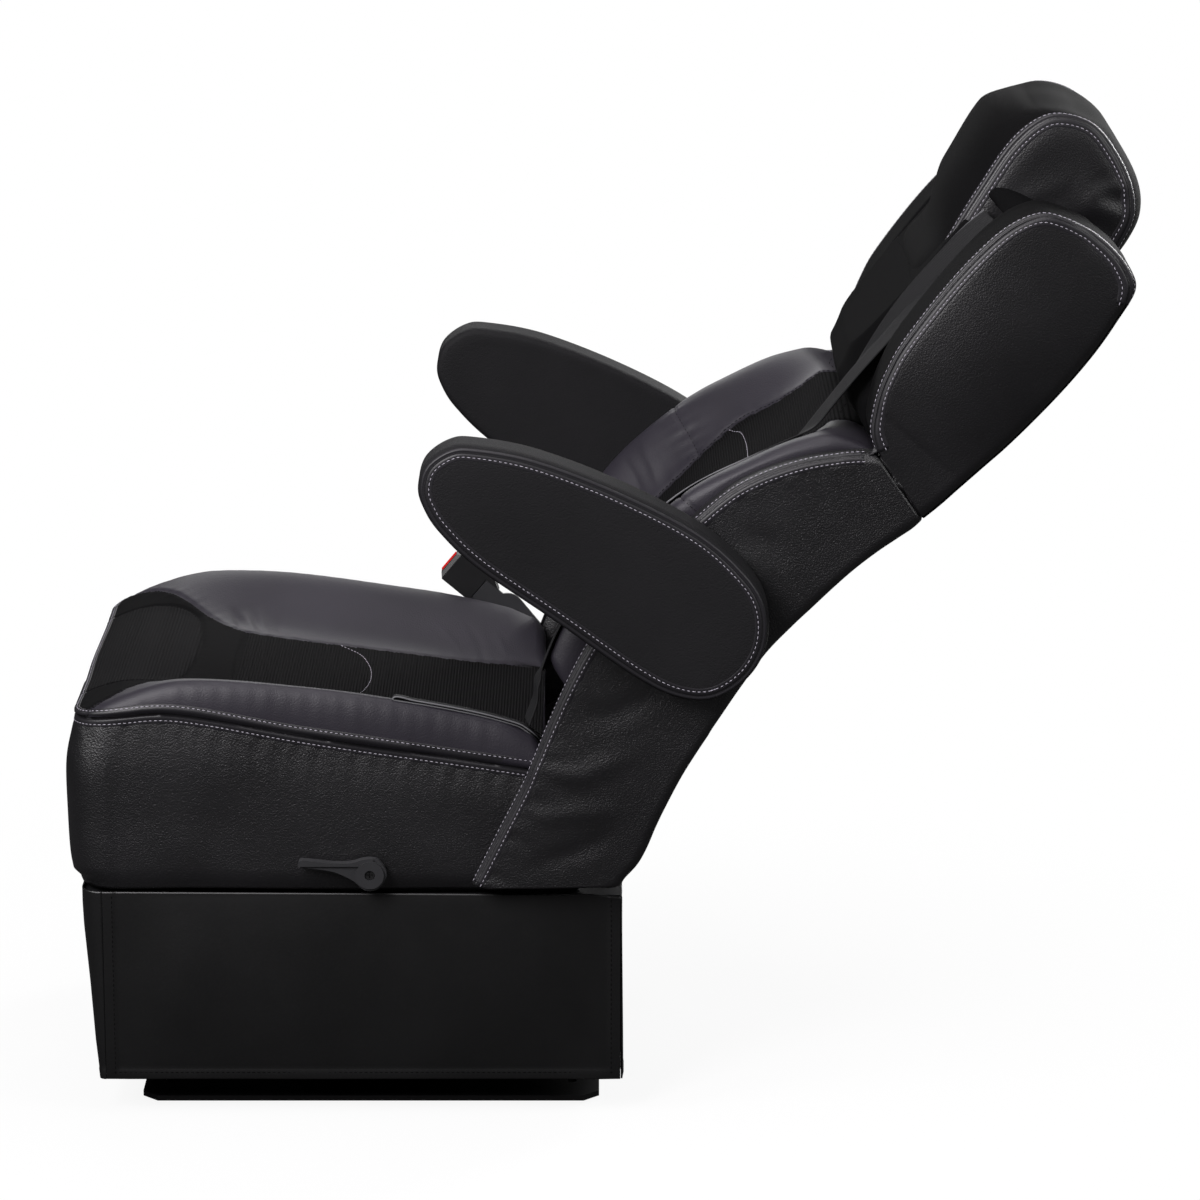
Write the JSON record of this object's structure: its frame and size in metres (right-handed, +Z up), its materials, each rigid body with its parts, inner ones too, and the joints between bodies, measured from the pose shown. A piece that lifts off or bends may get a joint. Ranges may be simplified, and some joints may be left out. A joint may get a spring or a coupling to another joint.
{
  "type": "pedestal captain seat",
  "caption": "Reclining captain seat on a swivel pedestal with slide rails, skirt, headrest, lifting armrests, lap and shoulder belt and a side recline lever.",
  "frame": {"origin": "centre of the floor plate's underside", "axes": "+Z up, -Y towards the front of the seat, +X towards the occupant's left, where the lever is"},
  "size_m": [0.696, 1.1576, 1.0785],
  "materials": {
    "steel_black": "satin black paint",
    "steel_zinc": "zinc plated",
    "nylon": "natural nylon",
    "plastic_black": "fine grained moulded",
    "buckle_black": "glossy moulded",
    "button_red": "red moulded",
    "leather_black": "fine grain, lilac-grey twin stitching",
    "leather_sheen": "smooth leather over foam, ribbed cloth in the middle",
    "vinyl_black": "smooth vinyl sheet",
    "webbing": "woven polyester webbing",
    "shell_black": "vinyl covered shell"
  },
  "bodies": {
    "pedestal": {"floor_plate": "steel_black", "pedestal_column": "steel_black", "swivel_lower_plate": "steel_zinc", "swivel_bearing": "nylon", "swivel_pivot_bolt": "steel_zinc"},
    "swivel": {"swivel_upper_plate": "steel_zinc", "slide_rail_lower_left": "steel_zinc", "slide_rail_lower_right": "steel_zinc"},
    "seat": {"slide_rail_upper_left": "steel_zinc", "slide_rail_upper_right": "steel_zinc", "seat_risers": "steel_black", "seat_pan": "steel_black", "skirt_rail": "steel_black", "seat_side_plate_left": "steel_black", "seat_side_plate_right": "steel_black", "recliner_disc_left": "steel_zinc", "recliner_disc_right": "steel_zinc", "seat_cushion": "leather_sheen", "seat_panel_left": "leather_black", "seat_panel_right": "leather_black", "seat_panel_front": "leather_black", "skirt_left": "vinyl_black", "skirt_right": "vinyl_black", "skirt_front_panel": "vinyl_black", "skirt_rear_panel": "vinyl_black", "lap_belt": "webbing", "belt_anchor": "steel_zinc"},
    "slide_lever": {"slide_lever": "plastic_black"},
    "recline_lever": {"recline_lever": "plastic_black", "lever_screw": "steel_zinc", "lever_spindle": "steel_zinc"},
    "recline_link": {"recline_link": "steel_zinc"},
    "release_shaft": {"release_shaft": "steel_zinc"},
    "buckle": {"buckle_stalk": "plastic_black", "buckle_housing": "buckle_black"},
    "buckle_button": {"buckle_button": "button_red"},
    "backrest": {"recliner_arm_left": "steel_black", "recliner_arm_right": "steel_black", "frame_upright_left": "steel_black", "frame_upright_right": "steel_black", "frame_crossbars": "steel_black", "headrest_plate": "steel_black", "back_cover": "shell_black", "back_lower_cushion": "leather_sheen", "back_upper_cushion": "leather_sheen", "back_panel_left": "leather_black", "back_panel_right": "leather_black", "shoulder_left": "leather_black", "shoulder_right": "leather_black", "headrest": "leather_sheen", "belt_guide": "plastic_black", "belt_retractor": "steel_zinc", "shoulder_belt": "webbing", "belt_tongue": "steel_zinc", "arm_mounts": "steel_black", "arm_pivot_bolts": "steel_zinc"},
    "armrest_left": {"arm_core_left": "steel_black", "arm_pad_left": "leather_black"},
    "armrest_right": {"arm_core_right": "steel_black", "arm_pad_right": "leather_black"}
  },
  "joints": [
    {"name": "swivel", "type": "hinge", "parent": "pedestal", "child": "swivel", "pos_m": [0, 0, 0.15], "axis": [0, 0, 1], "continuous": true},
    {"name": "seat_slide", "type": "slide", "parent": "swivel", "child": "seat", "axis": [0, 1, 0], "range_m": [-0.08, 0.08]},
    {"name": "slide_release", "type": "hinge", "parent": "seat", "child": "slide_lever", "pos_m": [0, -0.178, 0.195], "axis": [-1, 0, 0], "range_deg": [0, 12], "stiffness_Nm_per_rad": 4, "springref_deg": -5.73},
    {"name": "recline_lever_lift", "type": "hinge", "parent": "seat", "child": "recline_lever", "pos_m": [0, 0.005, 0.278], "axis": [-1, 0, 0], "range_deg": [0, 25], "stiffness_Nm_per_rad": 2, "springref_deg": -11.46},
    {"name": "release_shaft_turn", "type": "hinge", "parent": "seat", "child": "release_shaft", "pos_m": [0, 0.24, 0.306], "axis": [-1, 0, 0], "range_deg": [0, 25]},
    {"name": "recline_link_pull", "type": "slide", "parent": "seat", "child": "recline_link", "axis": [0, 1, 0], "range_m": [0, 0.0098]},
    {"name": "back_recline", "type": "hinge", "parent": "seat", "child": "backrest", "pos_m": [0, 0.24, 0.306], "axis": [-1, 0, 0], "range_deg": [-22, 25], "deforming": ["shoulder_belt"]},
    {"name": "armrest_left_lift", "type": "hinge", "parent": "backrest", "child": "armrest_left", "pos_m": [0, 0.35626, 0.55915], "axis": [-1, 0, 0], "range_deg": [0, 100]},
    {"name": "armrest_right_lift", "type": "hinge", "parent": "backrest", "child": "armrest_right", "pos_m": [0, 0.35626, 0.55915], "axis": [-1, 0, 0], "range_deg": [0, 100]},
    {"name": "buckle_swing", "type": "hinge", "parent": "seat", "child": "buckle", "pos_m": [0, 0.24, 0.306], "axis": [-1, 0, 0], "range_deg": [-20, 20]},
    {"name": "buckle_press", "type": "slide", "parent": "buckle", "child": "buckle_button", "axis": [0, 0.766, -0.6428], "range_m": [0, 0.004], "stiffness_N_per_m": 600, "springref_m": -0.002}
  ],
  "couplings": [
    {"joint": "release_shaft_turn", "follows": "recline_lever_lift", "ratio": 1},
    {"joint": "recline_link_pull", "follows": "recline_lever_lift", "m_per_rad": 0.021826}
  ]
}
